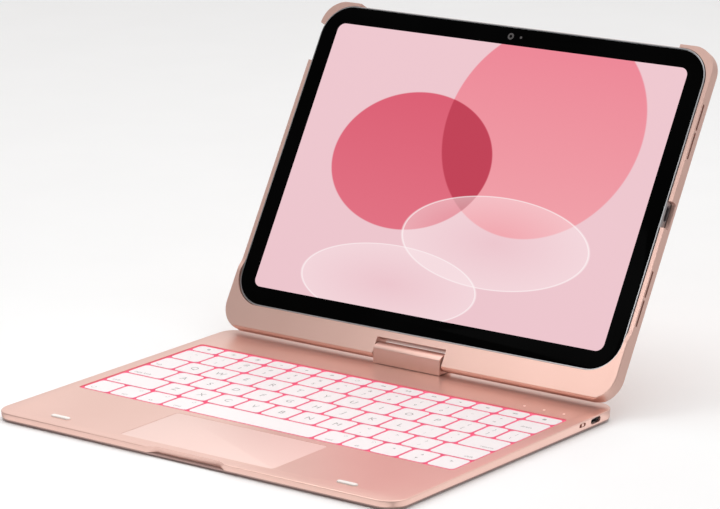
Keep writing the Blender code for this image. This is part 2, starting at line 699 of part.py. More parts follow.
def build_tablet(tablet):
    """Aluminium shell, black glass border, lit panel and the battery block inside."""
    back = -TABLET_THICKNESS
    seat = -GLASS_THICKNESS - GAP
    rings = (
        (tablet_outline(0.6), back), (tablet_outline(0), back + 0.6),
        (tablet_outline(0), RING_TOP - 0.2), (tablet_outline(0.2), RING_TOP),
    )
    shell = loft("tablet_shell", rings, tablet)
    glass_room = slab("cut_glass_room", tablet_outline(GLASS_INSET - GAP), seat, 2.0, tablet)
    hollow = slab("cut_tablet_hollow", tablet_outline(1.3), back + 0.8, 2.0, tablet)
    port = rounded_rect(-4.4, 4.4, -4.6, -1.9, 1.3, 4)
    socket = slab("cut_tablet_port", port, TABLET_HALF_X - 4, TABLET_HALF_X + 3, tablet, along_x=True)
    lens = slab("join_camera_bump", circle(7.0, 20, LENS_X, LENS_Y), back - 1.2, back + 0.4, tablet)
    combine(shell, [hollow, glass_room, socket])
    combine(shell, [lens], "UNION")
    paint(shell, (0.78, 0.78, 0.79), 0.3, 0.9)
    glass = slab("tablet_glass", tablet_outline(GLASS_INSET), -GLASS_THICKNESS, 0.0, tablet)
    x = SCREEN_HALF_X + GAP
    y = SCREEN_HALF_Y + GAP
    window = slab("cut_screen", rounded_rect(-x, x, -y, y, SCREEN_CORNER + GAP, 5), -3, 3, tablet)
    combine(glass, [window])
    paint(glass, (0.01, 0.01, 0.01), 0.08)
    outline = rounded_rect(-SCREEN_HALF_X, SCREEN_HALF_X, -SCREEN_HALF_Y, SCREEN_HALF_Y, SCREEN_CORNER, 5)
    paint(slab("display_panel", outline, -GLASS_THICKNESS, -0.05, tablet), (0.90, 0.55, 0.62), 0.1)
    core = rounded_rect(-100, 100, -66, 66, 3.0, 3)
    paint(slab("tablet_core", core, back + 0.8 + GAP, seat - GAP, tablet), (0.12, 0.12, 0.13), 0.5)


# ---------------------------------------------------------------- whole object

def centre_on_table(root):
    """Move the whole object so that its box is centred on Z and stands on the table."""
    bpy.context.view_layer.update()
    corners = []
    for obj in bpy.context.scene.objects:
        if obj.type == "MESH" and not obj.hide_render:
            corners += [obj.matrix_world @ vertex.co for vertex in obj.data.vertices]
    for axis in (0, 1):
        low = min(corner[axis] for corner in corners)
        high = max(corner[axis] for corner in corners)
        root.location[axis] = -(low + high) / 2


def main():
    """Clear the scene and build every piece."""
    for obj in list(bpy.data.objects):
        bpy.data.objects.remove(obj)
    root = empty("table_frame", None)
    deck = empty("deck_frame", root, (0, 0, DECK_HEIGHT), DECK_TILT)
    swivel = empty("swivel_frame", deck, (0, SWIVEL_Y, 0))
    lid = empty("lid_frame", swivel, (0, 0, HINGE_HEIGHT), LID_ANGLE)
    tablet = empty("tablet_frame", lid, (0, TABLET_Y, TABLET_Z))
    build_deck_shell(deck, root)
    build_cover(root)
    build_feet(root)
    build_layers(deck)
    build_electronics(deck)
    build_bumpers(deck)
    build_power_slider(deck)
    build_trackpad(deck)
    build_keys(deck)
    build_hinge(deck, swivel)
    build_tray(lid)
    build_lining(lid)
    build_shaft(lid)
    build_tablet(tablet)
    centre_on_table(root)


main()
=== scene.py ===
"""The looks of the tablet keyboard case: fine shells, key caps with their legends, the lit screen,
procedural materials, studio light and the camera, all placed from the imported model.

Local sizes are in millimetres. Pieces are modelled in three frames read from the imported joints:
the deck (origin where the swivel axis meets the deck's top), the lid (origin on the tilt axis) and
the tablet (origin at the middle of its glass).
"""

import json
from math import cos, pi, radians, sin

import bmesh
import bpy
from mathutils import Matrix, Vector


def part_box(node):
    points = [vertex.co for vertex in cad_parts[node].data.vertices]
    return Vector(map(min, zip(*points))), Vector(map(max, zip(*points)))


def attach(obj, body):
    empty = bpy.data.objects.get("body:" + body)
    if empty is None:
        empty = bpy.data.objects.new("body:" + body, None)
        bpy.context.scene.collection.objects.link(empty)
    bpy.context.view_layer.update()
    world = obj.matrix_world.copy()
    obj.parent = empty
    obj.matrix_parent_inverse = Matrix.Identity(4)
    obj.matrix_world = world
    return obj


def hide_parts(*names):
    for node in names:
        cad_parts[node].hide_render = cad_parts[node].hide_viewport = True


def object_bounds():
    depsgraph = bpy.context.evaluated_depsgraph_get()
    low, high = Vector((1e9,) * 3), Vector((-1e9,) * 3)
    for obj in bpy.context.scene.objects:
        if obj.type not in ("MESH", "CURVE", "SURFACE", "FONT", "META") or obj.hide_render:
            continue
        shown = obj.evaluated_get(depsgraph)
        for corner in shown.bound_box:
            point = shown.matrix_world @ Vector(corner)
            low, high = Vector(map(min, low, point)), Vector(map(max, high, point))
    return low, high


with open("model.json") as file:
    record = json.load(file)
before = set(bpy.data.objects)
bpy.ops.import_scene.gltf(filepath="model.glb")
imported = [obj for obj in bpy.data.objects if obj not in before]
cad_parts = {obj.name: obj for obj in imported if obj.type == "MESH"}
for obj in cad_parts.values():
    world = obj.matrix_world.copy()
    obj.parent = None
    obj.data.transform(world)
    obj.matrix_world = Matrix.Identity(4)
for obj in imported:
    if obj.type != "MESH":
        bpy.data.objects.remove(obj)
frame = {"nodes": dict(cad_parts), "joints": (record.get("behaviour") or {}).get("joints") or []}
CAD_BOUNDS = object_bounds()
JOINTS = {joint["name"]: joint for joint in frame["joints"]}
MM = 0.001
SHARP_ANGLE = 32  # degrees between faces from which an edge is drawn sharp


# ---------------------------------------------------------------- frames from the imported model

def frame_at(origin, normal):
    """A frame whose X is the world's X and whose Z is the given normal."""
    z = Vector(normal).normalized()
    x = Vector((1.0, 0.0, 0.0))
    matrix = Matrix((x, z.cross(x), z)).transposed().to_4x4()
    matrix.translation = Vector(origin)
    return matrix


def local_box(node, matrix):
    """A node's lowest and highest corner in a local frame, in millimetres."""
    inverse = matrix.inverted()
    points = [inverse @ vertex.co / MM for vertex in frame["nodes"][node].data.vertices]
    low = Vector([min(p[i] for p in points) for i in range(3)])
    high = Vector([max(p[i] for p in points) for i in range(3)])
    return low, high


DECK = frame_at(JOINTS["swivel"]["pos_m"], JOINTS["swivel"]["axis"])
LID = frame_at(JOINTS["lid_tilt"]["pos_m"], JOINTS["tablet_slide"]["axis"])
GLASS_LOW, GLASS_HIGH = local_box("tablet_glass", LID)
TABLET = LID @ Matrix.Translation(Vector((0, (GLASS_LOW.y + GLASS_HIGH.y) / 2, GLASS_HIGH.z)) * MM)


# ---------------------------------------------------------------- outlines

def rounded_rect(x0, x1, y0, y1, radius, steps=10):
    """A rectangle with round corners, counter-clockwise."""
    radius = max(radius, 0.01)
    corners = (
        (x1 - radius, y1 - radius, 0.0),
        (x0 + radius, y1 - radius, 0.5 * pi),
        (x0 + radius, y0 + radius, pi),
        (x1 - radius, y0 + radius, 1.5 * pi),
    )
    points = []
    for cx, cy, start in corners:
        for i in range(steps + 1):
            angle = start + 0.5 * pi * i / steps
            points.append((cx + radius * cos(angle), cy + radius * sin(angle)))
    return points


def inset_rect(low, high, inset, radius, steps=10):
    """A round-cornered rectangle between two corners, moved inwards."""
    return rounded_rect(
        low[0] + inset, high[0] - inset, low[1] + inset, high[1] - inset, radius - inset, steps
    )


def circle(radius, steps=32, x=0.0, y=0.0):
    """A full circle, counter-clockwise."""
    turns = [2 * pi * i / steps for i in range(steps)]
    return [(x + radius * cos(a), y + radius * sin(a)) for a in turns]


def edge_round(radius, steps=4, top=0.0):
    """(inset, height) pairs of a quarter-round edge that ends at the height top."""
    pairs = []
    for i in range(steps + 1):
        angle = 0.5 * pi * i / steps
        pairs.append((radius * (1 - cos(angle)), top - radius * (1 - sin(angle))))
    return pairs


# ---------------------------------------------------------------- mesh making

def add_loft(mesh, rings, along_x=False, slot=0):
    """Add a closed solid through rings of (outline, height), low to high, in millimetres."""
    loops = []
    for outline, height in rings:
        loop = []
        for a, b in outline:
            point = (height, a, b) if along_x else (a, b, height)
            loop.append(mesh.verts.new(Vector(point) * MM))
        loops.append(loop)
    count = len(loops[0])
    faces = []
    for low, high in zip(loops, loops[1:]):
        for i in range(count):
            j = (i + 1) % count
            faces.append(mesh.faces.new((low[i], low[j], high[j], high[i])))
    faces.append(mesh.faces.new(list(reversed(loops[0]))))
    faces.append(mesh.faces.new(loops[-1]))
    for face in faces:
        face.material_index = slot


def new_object(name, mesh, matrix):
    """A smooth-shaded object made from a bmesh, standing in a local frame."""
    data = bpy.data.meshes.new(name)
    mesh.to_mesh(data)
    mesh.free()
    data.shade_smooth()
    data.set_sharp_from_angle(angle=radians(SHARP_ANGLE))
    obj = bpy.data.objects.new(name, data)
    bpy.context.scene.collection.objects.link(obj)
    obj.matrix_world = matrix
    return obj


def loft(name, rings, matrix, along_x=False):
    """One object made of one lofted solid."""
    mesh = bmesh.new()
    add_loft(mesh, rings, along_x)
    return new_object(name, mesh, matrix)


def slab(name, outline, low, high, matrix, along_x=False):
    """One object with the same outline from low to high."""
    return loft(name, ((outline, low), (outline, high)), matrix, along_x)


def box(name, low, high, matrix):
    """One box between two corners."""
    outline = ((low[0], low[1]), (high[0], low[1]), (high[0], high[1]), (low[0], high[1]))
    return slab(name, outline, low[2], high[2], matrix)


def carve(obj, tools, operation="DIFFERENCE"):
    """Cut helper solids out of an object, or join them to it, and delete the helpers."""
    for tool in tools:
        modifier = obj.modifiers.new(tool.name, "BOOLEAN")
        modifier.operation = operation
        modifier.object = tool
    graph = bpy.context.evaluated_depsgraph_get()
    data = bpy.data.meshes.new_from_object(obj.evaluated_get(graph))
    obj.modifiers.clear()
    obj.data = data
    for tool in tools:
        bpy.data.objects.remove(tool)
    data.shade_smooth()
    data.set_sharp_from_angle(angle=radians(SHARP_ANGLE))


def soften(obj, width):
    """Round the sharp edges that cutting leaves."""
    bevel = obj.modifiers.new("soft_edges", "BEVEL")
    bevel.width = width * MM
    bevel.segments = 2
    bevel.limit_method = "ANGLE"
    bevel.angle_limit = radians(38)
    bevel.use_clamp_overlap = True
    bevel.harden_normals = False


def finish_piece(obj, body, materials, replaced=()):
    """Give a piece its materials, its body, and the nodes that it stands for."""
    for item in materials:
        obj.data.materials.append(item)
    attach(obj, body)
    if replaced:
        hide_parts(*replaced)


# ---------------------------------------------------------------- materials

class Shader:
    """A small helper that lays out one material's nodes."""

    def __init__(self, name, **sockets):
        self.material = bpy.data.materials.new(name)
        self.material.use_nodes = True
        self.tree = self.material.node_tree
        self.shader = self.tree.nodes["Principled BSDF"]
        self.coords = self.tree.nodes.new("ShaderNodeTexCoord")
        for socket, value in sockets.items():
            self.shader.inputs[socket.replace("_", " ")].default_value = value

    def node(self, kind, **settings):
        made = self.tree.nodes.new(kind)
        for key, value in settings.items():
            setattr(made, key, value)
        return made

    def link(self, source, target):
        self.tree.links.new(source, target)

    def mapped(self, scale=(1, 1, 1)):
        mapping = self.node("ShaderNodeMapping")
        mapping.inputs["Scale"].default_value = scale
        self.link(self.coords.outputs["Object"], mapping.inputs["Vector"])
        return mapping.outputs["Vector"]

    def noise(self, scale, detail=3.0, stretch=(1, 1, 1), roughness=0.5):
        noise = self.node("ShaderNodeTexNoise")
        noise.inputs["Scale"].default_value = scale
        noise.inputs["Detail"].default_value = detail
        noise.inputs["Roughness"].default_value = roughness
        self.link(self.mapped(stretch), noise.inputs["Vector"])
        return noise.outputs["Fac"]

    def ramp(self, source, stops):
        ramp = self.node("ShaderNodeValToRGB")
        elements = ramp.color_ramp.elements
        while len(elements) < len(stops):
            elements.new(0.5)
        for element, (position, colour) in zip(elements, stops):
            element.position = position
            element.color = (*colour, 1.0)
        self.link(source, ramp.inputs["Fac"])
        return ramp.outputs["Color"]

    def spread(self, source, low, high):
        spread = self.node("ShaderNodeMapRange")
        spread.inputs["From Min"].default_value = 0.3
        spread.inputs["From Max"].default_value = 0.7
        spread.inputs["To Min"].default_value = low
        spread.inputs["To Max"].default_value = high
        self.link(source, spread.inputs["Value"])
        return spread.outputs["Result"]

    def bump(self, source, strength, distance):
        bump = self.node("ShaderNodeBump")
        bump.inputs["Strength"].default_value = strength
        bump.inputs["Distance"].default_value = distance * MM
        self.link(source, bump.inputs["Height"])
        self.link(bump.outputs["Normal"], self.shader.inputs["Normal"])

    def surface(self, colours, roughness, grain, bump, stretch=(1, 1, 1)):
        """Colour and roughness that drift gently, and a fine grain in the surface."""
        drift = self.noise(14.0, 2.0)
        tint = self.ramp(drift, ((0.35, colours[0]), (0.65, colours[1])))
        self.link(tint, self.shader.inputs["Base Color"])
        fine = self.noise(grain, 4.0, stretch)
        self.link(self.spread(fine, *roughness), self.shader.inputs["Roughness"])
        self.bump(fine, bump[0], bump[1])
        return self.material


def anodised(name, light, dark, metallic=0.85, roughness=(0.30, 0.40)):
    """Fine blasted and dyed aluminium."""
    shader = Shader(name, Metallic=metallic, Specular_IOR_Level=0.5)
    return shader.surface((light, dark), roughness, 2600.0, (0.07, 0.02))


def plastic(name, light, dark, roughness=(0.42, 0.55), grain=1800.0, **sockets):
    """Finely moulded plastic."""
    return Shader(name, **sockets).surface((light, dark), roughness, grain, (0.12, 0.02))


def metal(name, light, dark):
    """Turned or ground metal with fine lines."""
    shader = Shader(name, Metallic=1.0)
    return shader.surface((light, dark), (0.22, 0.36), 900.0, (0.15, 0.02), (1, 1, 14))


def glowing(name, colour, strength):
    """A lit sheet whose brightness drifts a little."""
    shader = Shader(name, Roughness=0.4)
    drift = shader.noise(40.0, 2.0)
    for share, socket in ((0.9, "Base Color"), (0.92, "Emission Color")):
        dim = [c * share for c in colour]
        tint = shader.ramp(drift, ((0.3, dim), (0.7, colour)))
        shader.link(tint, shader.shader.inputs[socket])
    shader.shader.inputs["Emission Strength"].default_value = strength
    return shader.material


ROSE = anodised("rose_anodised", (0.86, 0.575, 0.50), (0.83, 0.545, 0.47))
ROSE_LID = anodised("rose_painted", (0.86, 0.575, 0.50), (0.82, 0.54, 0.465), roughness=(0.40, 0.47))
ROSE_DARK = anodised("rose_shadow", (0.45, 0.30, 0.27), (0.40, 0.26, 0.24), metallic=0.6)
PAD = anodised(
    "trackpad_coat", (0.92, 0.68, 0.62), (0.90, 0.66, 0.60), metallic=0.55, roughness=(0.40, 0.48)
)
LEGEND = plastic("key_legend", (0.42, 0.40, 0.40), (0.36, 0.34, 0.34))
RUBBER = plastic("feet_rubber", (0.05, 0.045, 0.045), (0.035, 0.03, 0.03), roughness=(0.75, 0.9), grain=700.0)
PALE_RUBBER = plastic("bumper_rubber", (0.95, 0.90, 0.86), (0.92, 0.87, 0.83), roughness=(0.5, 0.62))
SILVER = anodised(
    "silver_anodised", (0.50, 0.50, 0.51), (0.46, 0.46, 0.47), metallic=0.95, roughness=(0.36, 0.44)
)
STEEL = metal("ground_steel", (0.62, 0.62, 0.64), (0.52, 0.52, 0.54))
DARK_STEEL = metal("spring_steel", (0.22, 0.21, 0.21), (0.16, 0.15, 0.15))
BRASS = metal("turned_brass", (0.82, 0.64, 0.32), (0.72, 0.54, 0.26))
POUCH = plastic("battery_pouch", (0.13, 0.13, 0.14), (0.10, 0.10, 0.11), roughness=(0.3, 0.5), grain=300.0)
BOARD = plastic("circuit_green", (0.05, 0.22, 0.12), (0.035, 0.16, 0.09), roughness=(0.3, 0.5))
FELT = plastic("felt_lining", (0.30, 0.27, 0.28), (0.22, 0.20, 0.21), roughness=(0.85, 1.0), grain=3000.0)
GLASS = plastic(
    "black_glass", (0.002, 0.002, 0.002), (0.001, 0.001, 0.001), (0.05, 0.07), 200.0,
    Specular_IOR_Level=0.006,
)
LENS_GREY = plastic("lens_grey", (0.10, 0.09, 0.09), (0.07, 0.065, 0.065), (0.3, 0.4), 400.0)
GLOW = glowing("backlight_glow", (0.70, 0.17, 0.28), 0.60)
LAMP = glowing("lamp_glow", (0.95, 0.70, 0.64), 0.55)


def screen_material():
    """A lit picture of plain soft discs over a pale ground, laid out in the tablet's frame."""
    shader = Shader("screen_picture", Roughness=0.12, Specular_IOR_Level=0.02)
    place = shader.coords.outputs["Object"]
    separate = shader.node("ShaderNodeSeparateXYZ")
    shader.link(place, separate.inputs["Vector"])

    def math(kind, *values, clamp=False):
        made = shader.node("ShaderNodeMath", operation=kind, use_clamp=clamp)
        for socket, value in zip(made.inputs, values):
            if isinstance(value, (int, float)):
                socket.default_value = value
            else:
                shader.link(value, socket)
        return made.outputs["Value"]

    def disc(x, y, width, height, soft):
        """1 inside an ellipse and 0 outside; soft is the width of its edge as a share of its size."""
        across = math("DIVIDE", math("SUBTRACT", separate.outputs["X"], x * MM), width * MM)
        up = math("DIVIDE", math("SUBTRACT", separate.outputs["Y"], y * MM), height * MM)
        distance = math("SQRT", math("ADD", math("MULTIPLY", across, across), math("MULTIPLY", up, up)))
        inside = math("DIVIDE", math("SUBTRACT", 1.0, distance), soft, clamp=True)
        return inside, distance

    def mix(amount, under, over):
        made = shader.node("ShaderNodeMix", data_type="RGBA")
        shader.link(amount, made.inputs["Factor"])
        for socket, value in ((made.inputs["A"], under), (made.inputs["B"], over)):
            if isinstance(value, tuple):
                socket.default_value = (*value, 1.0)
            else:
                shader.link(value, socket)
        return made.outputs["Result"]

    fall = math("ADD", math("MULTIPLY", separate.outputs["Y"], 3.2), 0.5)
    ground = shader.ramp(fall, ((0.1, (0.83, 0.55, 0.60)), (0.9, (0.86, 0.58, 0.63))))
    big, _ = disc(38, 34, 62, 62, 0.012)
    shade = math("ADD", math("MULTIPLY", math("SUBTRACT", separate.outputs["Y"], 0.034), 7.5), 0.5)
    colour = mix(big, ground, shader.ramp(shade, ((0.0, (0.87, 0.36, 0.40)), (1.0, (0.84, 0.22, 0.29)))))
    middle, _ = disc(-38, 6, 52, 40, 0.015)
    shade = math("ADD", math("MULTIPLY", math("SUBTRACT", separate.outputs["Y"], 0.006), 9.0), 0.5)
    colour = mix(middle, colour, shader.ramp(shade, ((0.0, (0.76, 0.17, 0.23)), (1.0, (0.70, 0.10, 0.16)))))
    both = math("MULTIPLY", big, middle)
    colour = mix(both, colour, (0.53, 0.05, 0.09))
    for x, y, width, height in ((30, -32, 60, 26), (-28, -64, 58, 22)):
        inside, distance = disc(x, y, width, height, 0.02)
        veil = math("MULTIPLY", inside, math("MULTIPLY", distance, 0.35))
        colour = mix(veil, colour, (0.98, 0.86, 0.88))
        rim = math("MULTIPLY", inside, math("GREATER_THAN", distance, 0.972))
        colour = mix(math("MULTIPLY", rim, 0.6), colour, (1.0, 0.93, 0.93))
    shader.shader.inputs["Base Color"].default_value = (0.01, 0.01, 0.01, 1.0)
    shader.link(colour, shader.shader.inputs["Emission Color"])
    shader.shader.inputs["Emission Strength"].default_value = 1.0
    return shader.material


SCREEN = screen_material()


def cap_material():
    """White moulded caps with a painted pink glow on their skirts, standing in for the light that leaks up
    between them.
    """
    shader = Shader("key_cap")
    shader.surface(((0.92, 0.885, 0.885), (0.90, 0.865, 0.865)), (0.42, 0.55), 1800.0, (0.10, 0.02))
    separate = shader.node("ShaderNodeSeparateXYZ")
    shader.link(shader.coords.outputs["Object"], separate.inputs["Vector"])
    # Painted glow: a mask that is 1 at the foot of each cap's skirt and 0 higher up
    depth = shader.node("ShaderNodeMapRange")
    depth.inputs["From Min"].default_value = CAP_PAINTED_GLOW_LOW * MM
    depth.inputs["From Max"].default_value = CAP_PAINTED_GLOW_HIGH * MM
    depth.inputs["To Min"].default_value = 1.0
    depth.inputs["To Max"].default_value = 0.0
    shader.link(separate.outputs["Z"], depth.inputs["Value"])
    # The mask paints a pink emission and a pink base colour onto the skirts, standing in for the backlight
    # shining up between the caps
    glow = shader.ramp(depth.outputs["Result"], ((0.0, (0.0, 0.0, 0.0)), (1.0, (0.24, 0.03, 0.07))))
    tint = shader.node("ShaderNodeMix", data_type="RGBA")
    shader.link(depth.outputs["Result"], tint.inputs["Factor"])
    shader.link(shader.shader.inputs["Base Color"].links[0].from_socket, tint.inputs["A"])
    tint.inputs["B"].default_value = (0.72, 0.26, 0.36, 1.0)
    shader.link(tint.outputs["Result"], shader.shader.inputs["Base Color"])
    shader.link(glow, shader.shader.inputs["Emission Color"])
    shader.shader.inputs["Emission Strength"].default_value = 1.0
    return shader.material


# Heights over which the painted glow on the cap skirts fades out
CAP_PAINTED_GLOW_LOW = -0.50
CAP_PAINTED_GLOW_HIGH = -0.36
CAP = cap_material()


# ---------------------------------------------------------------- base

BASE_LOW, BASE_HIGH = local_box("deck_shell", DECK)
BASE_CORNER = 11.0
SKIN = 0.6
WALL = 1.2
WELL_LOW = Vector((-118.7, -133.9))
WELL_HIGH = Vector((118.7, -30.8))
KEY_GAP = 1.5
THROUGH = (-1.5, 1.0)  # heights between which a cutter passes through the deck's skin
POST_HOLE_RADIUS = 2.6
PAD_CORNER = 1.6
BUMPER_CORNER = 1.5
LAMP_PITCH = 12.0
LAMP_RADIUS = 0.72
THUMB_HALF_X = 25.0
THUMB_FLARE = 3.0
THUMB_FLOOR_HALF_X = 19.5
THUMB_DEPTH = 2.8


def base_outline(inset, steps=16):
    """The base's plan."""
    return inset_rect(BASE_LOW, BASE_HIGH, inset, BASE_CORNER, steps)


def lamp_places():
    """The middles of the three status lamps."""
    low, high = local_box("light_pipe", DECK)
    return [((low.x + high.x) / 2 + LAMP_PITCH * (i - 1), (low.y + high.y) / 2) for i in range(3)]


def build_deck():
    """The deck's top and side walls with a rounded rim and every opening."""
    rings = [(base_outline(0.5), -9.0)]
    rings += [(base_outline(inset), height) for inset, height in edge_round(0.55, 4)]
    shell = loft("deck_top", rings, DECK)
    front = BASE_LOW.y
    carve(shell, [slab("cut_cavity", base_outline(WALL), -12.0, -SKIN, DECK)])
    carve(shell, [box("lip", (-29, front + 1, -9.0), (29, front + 4.2, -SKIN / 2), DECK)], "UNION")
    floor_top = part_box("bottom_cover")[1].z / MM
    below = box("cut_below", (-140, -160, -20), (140, 160, floor_top + 0.1), Matrix.Identity(4))
    tools = [below, slab("cut_swivel", circle(POST_HOLE_RADIUS, 32), *THROUGH, DECK)]
    tools.append(slab("cut_well", inset_rect(WELL_LOW, WELL_HIGH, 0, 2.2), *THROUGH, DECK))
    pad_low, pad_high = local_box("trackpad_plate", DECK)
    tools.append(slab("cut_pad", inset_rect(pad_low, pad_high, -0.3, PAD_CORNER), *THROUGH, DECK))
    for side in ("left", "right"):
        low, high = local_box(f"bumper_{side}", DECK)
        outline = inset_rect(low, high, -0.02, BUMPER_CORNER)
        tools.append(slab(f"cut_{side}", outline, *THROUGH, DECK))
    for i, (x, y) in enumerate(lamp_places()):
        tools.append(slab(f"cut_light_{i}", circle(LAMP_RADIUS + 0.03, 16, x, y), *THROUGH, DECK))
    low, high = local_box("charge_port", DECK)
    port = inset_rect(low.yz, high.yz, -0.1, 1.4, 8)
    tools.append(slab("cut_port", port, BASE_HIGH.x - 2.5, BASE_HIGH.x + 2, DECK, along_x=True))
    low, high = local_box("power_slider", DECK)
    slot_y = (low.y + high.y) / 2 - 0.3
    slot_z = (low.z + high.z) / 2
    slot = rounded_rect(slot_y - 2.9, slot_y + 2.9, slot_z - 1.0, slot_z + 1.0, 0.95, 6)
    tools.append(slab("cut_slot", slot, BASE_HIGH.x - 2.5, BASE_HIGH.x + 2, DECK, along_x=True))
    wide = THUMB_HALF_X + THUMB_FLARE
    back = front + THUMB_DEPTH
    notch = (
        (-wide, front - THUMB_FLARE), (wide, front - THUMB_FLARE), (THUMB_HALF_X, front),
        (THUMB_FLOOR_HALF_X, back), (-THUMB_FLOOR_HALF_X, back), (-THUMB_HALF_X, front),
    )
    tools.append(slab("cut_thumb", notch, -12.0, 2.0, DECK))
    carve(shell, tools)
    soften(shell, 0.16)
    finish_piece(shell, "base", [ROSE], ["deck_shell"])


def build_trackpad():
    """A flush pad with a hairline gap round it."""
    low, high = local_box("trackpad_plate", DECK)
    rings = [(inset_rect(low, high, -0.2, PAD_CORNER, 6), low.z)]
    for inset, height in edge_round(0.12, 3, high.z):
        rings.append((inset_rect(low, high, inset - 0.2, PAD_CORNER, 6), height))
    pad = loft("trackpad_surface", rings, DECK)
    finish_piece(pad, "trackpad", [PAD], ["trackpad_plate"])


def build_glow_tray():
    """The lit sheet under the keys, turned up round the well so that light fills every gap."""
    low, high = local_box("backlight_sheet", DECK)
    outer = inset_rect(WELL_LOW, WELL_HIGH, -0.9, 2.6)
    tray = slab("glow_tray", outer, low.z, -SKIN - 0.05, DECK)
    carve(tray, [slab("cut_tray", inset_rect(WELL_LOW, WELL_HIGH, -0.15, 2.3), high.z, 1.0, DECK)])
    finish_piece(tray, "base", [GLOW], ["backlight_sheet"])


def build_lamps():
    """Three small status lamps, flush with the deck."""
    low, _ = local_box("light_pipe", DECK)
    mesh = bmesh.new()
    for x, y in lamp_places():
        outline = circle(LAMP_RADIUS, 20, x, y)
        add_loft(mesh, ((outline, low.z), (outline, -0.03)))
    lamps = new_object("status_lamps", mesh, DECK)
    finish_piece(lamps, "base", [LAMP], ["light_pipe"])


def build_bumpers():
    """Two soft crowned strips."""
    for side in ("left", "right"):
        low, high = local_box(f"bumper_{side}", DECK)
        rings = [(inset_rect(low, high, 0, BUMPER_CORNER, 8), low.z)]
        for inset, height in edge_round(0.6, 5, high.z):
            rings.append((inset_rect(low, high, inset, BUMPER_CORNER, 8), height))
        strip = loft(f"bumper_strip_{side}", rings, DECK)
        finish_piece(strip, "base", [PALE_RUBBER], [f"bumper_{side}"])


# ---------------------------------------------------------------- keys

KEYS_HALF_X = 118.0
LETTER_PITCH = 17.5
CAP_CORNER = 2.3
CAP_RIM = 0.14
FRONT_WIDTH = 17.6
SPACE_WIDTH = 79.5
NUMBER_WIDTH = 16.33
FUNCTION_WIDTH = 16.55
PRINT = 0.012  # how far the print stands out of a cap


def key_rows():
    """Every row from the front: (key names, key widths)."""
    wide = 2 * KEYS_HALF_X
    letters = LETTER_PITCH
    front = ["globe", "control", "option_left", "command_left", "space"]
    front += ["command_right", "option_right", "page_left", "page_middle", "page_right"]
    first = ["shift_left", *"zxcvbnm", "comma", "period", "slash", "shift_right"]
    second = ["caps", *"asdfghjkl", "semicolon", "quote", "enter"]
    third = ["tab", *"qwertyuiop", "bracket_left", "bracket_right", "backslash"]
    number = ["grave", *(f"number_{i}" for i in range(1, 13)), "backspace"]
    function = ["home", *(f"function_{i}" for i in range(1, 13)), "lock"]
    return (
        (front, [FRONT_WIDTH] * 4 + [SPACE_WIDTH] + [(wide - 4 * FRONT_WIDTH - SPACE_WIDTH) / 5] * 5),
        (first, [32.9] + [letters] * 10 + [wide - 32.9 - 10 * letters]),
        (second, [24.2] + [letters] * 10 + [12.8, wide - 24.2 - 10 * letters - 12.8]),
        (third, [16.9] + [letters] * 11 + [13.2, wide - 16.9 - 11 * letters - 13.2]),
        (number, [19.9] + [NUMBER_WIDTH] * 12 + [wide - 19.9 - 12 * NUMBER_WIDTH]),
        (function, [17.9] + [FUNCTION_WIDTH] * 12 + [wide - 17.9 - 12 * FUNCTION_WIDTH]),
    )


def key_cells():
    """Every key's name, row and cap rectangle in the deck's frame."""
    low, high = local_box("key_space", DECK)
    pitch = high.y - low.y + KEY_GAP
    function_low, function_high = local_box("function_keys", DECK)
    cells = []
    for row, (names, widths) in enumerate(key_rows()):
        y0 = low.y + pitch * row
        y1 = y0 + pitch - KEY_GAP
        if row == 5:
            y0, y1 = function_low.y, function_high.y
        x = -KEYS_HALF_X
        for name, width in zip(names, widths, strict=True):
            cells.append((name, row, (x + KEY_GAP / 2, x + width - KEY_GAP / 2, y0, y1)))
            x += width
    return cells


def key_bank(name, row, rect):
    """The CAD node that a key belongs to."""
    if row == 5:
        return "function_keys"
    if row == 4:
        return "number_keys"
    if len(name) == 1 or name == "space":
        return f"key_{name}"
    return "left_keys" if rect[0] < 0 else "right_keys"


def add_cap(mesh, rect, low_z, high_z):
    """One cap with straight sides, a rounded rim and a faintly hollowed top."""
    x0, x1, y0, y1 = rect
    rings = [(rounded_rect(x0, x1, y0, y1, CAP_CORNER, 6), low_z)]
    for inset, height in edge_round(CAP_RIM, 3, high_z):
        outline = rounded_rect(x0 + inset, x1 - inset, y0 + inset, y1 - inset, CAP_CORNER - inset, 6)
        rings.append((outline, height))
    for inset, drop in ((1.2, 0.03), (2.6, 0.06)):
        outline = rounded_rect(x0 + inset, x1 - inset, y0 + inset, y1 - inset, CAP_CORNER - 0.3, 6)
        rings.append((outline, high_z - drop))
    add_loft(mesh, rings)


def add_text(mesh, text, size, x, y, z, align="CENTER"):
    """Thin raised lettering laid on a cap."""
    curve = bpy.data.curves.new("legend", "FONT")
    curve.body = text
    curve.size = size * MM
    curve.extrude = PRINT * MM
    curve.resolution_u = 3
    curve.align_x = align
    curve.align_y = "CENTER"
    obj = bpy.data.objects.new("legend", curve)
    bpy.context.scene.collection.objects.link(obj)
    graph = bpy.context.evaluated_depsgraph_get()
    data = bpy.data.meshes.new_from_object(obj.evaluated_get(graph))
    verts = [mesh.verts.new(v.co + Vector((x, y, z)) * MM) for v in data.vertices]
    for polygon in data.polygons:
        face = mesh.faces.new([verts[i] for i in polygon.vertices])
        face.material_index = 1
    bpy.data.objects.remove(obj)
    bpy.data.curves.remove(curve)
    bpy.data.meshes.remove(data)


def add_mark(mesh, outline, x, y, z):
    """A small flat shape laid on a cap."""
    moved = [(x + a, y + b) for a, b in outline]
    add_loft(mesh, ((moved, z - PRINT), (moved, z + PRINT)), slot=1)


def ring_mark(mesh, radius, x, y, z):
    """A ring of small dots."""
    for i in range(12):
        angle = 2 * pi * i / 12
        cx = x + radius * cos(angle)
        cy = y + radius * sin(angle)
        add_mark(mesh, circle(radius * 0.17, 8), cx, cy, z)


